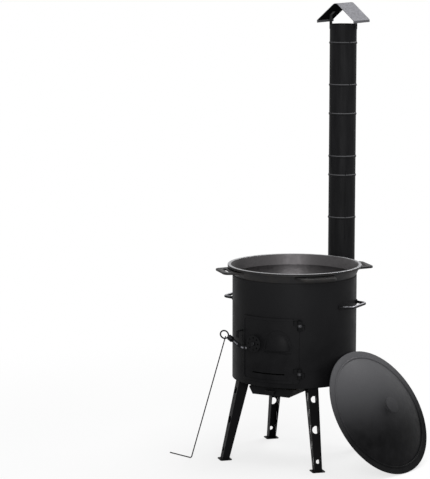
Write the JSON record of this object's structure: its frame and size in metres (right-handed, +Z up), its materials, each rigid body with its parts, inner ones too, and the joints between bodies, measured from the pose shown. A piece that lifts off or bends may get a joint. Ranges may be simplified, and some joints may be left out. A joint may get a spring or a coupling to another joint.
{
  "type": "cauldron stove",
  "caption": "Free-standing round wood stove on splayed channel legs with a seated cast cauldron, hinged latched fire door, ash pan, tall flue with rain cap, leaning lid and poker.",
  "frame": {"origin": "on the drum's upright axis at floor height", "axes": "+Z up; the fire door faces -Y and the flue stands at +Y; +X is the stove's right side seen from the front"},
  "size_m": [0.8642, 0.7085, 1.5829],
  "materials": {
    "stove_paint": "matt heat resistant black paint on sheet steel",
    "leg_paint": "satin black powder coat on folded sheet",
    "flue_paint": "matt black enamel on rolled flue pipe",
    "cast_iron": "oiled cast iron",
    "lid_iron": "black seasoned cast iron with a soft sheen",
    "hardware": "darkened steel fasteners",
    "hinge_steel": "turned steel with worn black paint",
    "forged_rod": "blackened steel bar",
    "grip_black": "ribbed steel sleeve, worn"
  },
  "bodies": {
    "stove": {"firebox_shell": "stove_paint", "floor_plate": "stove_paint", "fire_grate": "cast_iron", "upper_hinge_pin": "hinge_steel", "lower_hinge_pin": "hinge_steel", "latch_keeper": "hinge_steel", "right_handle": "stove_paint", "left_handle": "stove_paint", "leg_front_right": "leg_paint", "leg_back_right": "leg_paint", "leg_back_left": "leg_paint", "leg_front_left": "leg_paint", "leg_bolts": "hardware", "right_pan_runner": "stove_paint", "left_pan_runner": "stove_paint", "flue_stub": "flue_paint", "flue_elbow": "flue_paint"},
    "door": {"door_skin": "stove_paint", "air_hood": "stove_paint", "upper_hinge_sleeve": "hinge_steel", "lower_hinge_sleeve": "hinge_steel", "latch_boss": "stove_paint", "latch_rosette": "stove_paint", "latch_pivot_bolt": "hardware"},
    "latch": {"latch_lever": "forged_rod", "latch_grip": "grip_black"},
    "ash_drawer": {"ash_pan": "stove_paint", "ash_pan_pull": "stove_paint"},
    "pot": {"cauldron": "cast_iron"},
    "chimney": {"lower_pipe": "flue_paint", "middle_pipe": "flue_paint", "upper_pipe": "flue_paint", "rain_cap": "flue_paint", "right_cap_strap": "flue_paint", "left_cap_strap": "flue_paint", "cap_rivets": "hardware"},
    "lid": {"lid": "lid_iron", "lid_knob": "lid_iron", "knob_screw": "hardware"},
    "poker": {"poker": "forged_rod"}
  },
  "joints": [
    {"name": "door_hinge", "type": "hinge", "parent": "stove", "child": "door", "pos_m": [0.11794, -0.19629, 0.422], "axis": [0, 0, 1], "range_deg": [0, 100]},
    {"name": "latch_pivot", "type": "hinge", "parent": "door", "child": "latch", "pos_m": [-0.04231, -0.22607, 0.435], "axis": [0.184, 0.9829, 0], "range_deg": [0, 18]},
    {"name": "ash_pan_slide", "type": "slide", "parent": "stove", "child": "ash_drawer", "axis": [0, -1, 0], "range_m": [0, 0.24]},
    {"name": "pot_lift", "type": "slide", "parent": "stove", "child": "pot", "axis": [0, 0, 1], "range_m": [0, 0.3]},
    {"name": "chimney_lift", "type": "slide", "parent": "stove", "child": "chimney", "axis": [0, 0, 1], "range_m": [0, 0.12]},
    {"name": "lid_away", "type": "slide", "parent": "stove", "child": "lid", "axis": [0.8294, -0.1854, 0.527], "range_m": [0, 0.3]},
    {"name": "poker_away", "type": "slide", "parent": "door", "child": "poker", "axis": [-0.7094, 0.4096, 0.5736], "range_m": [0, 0.25]}
  ]
}
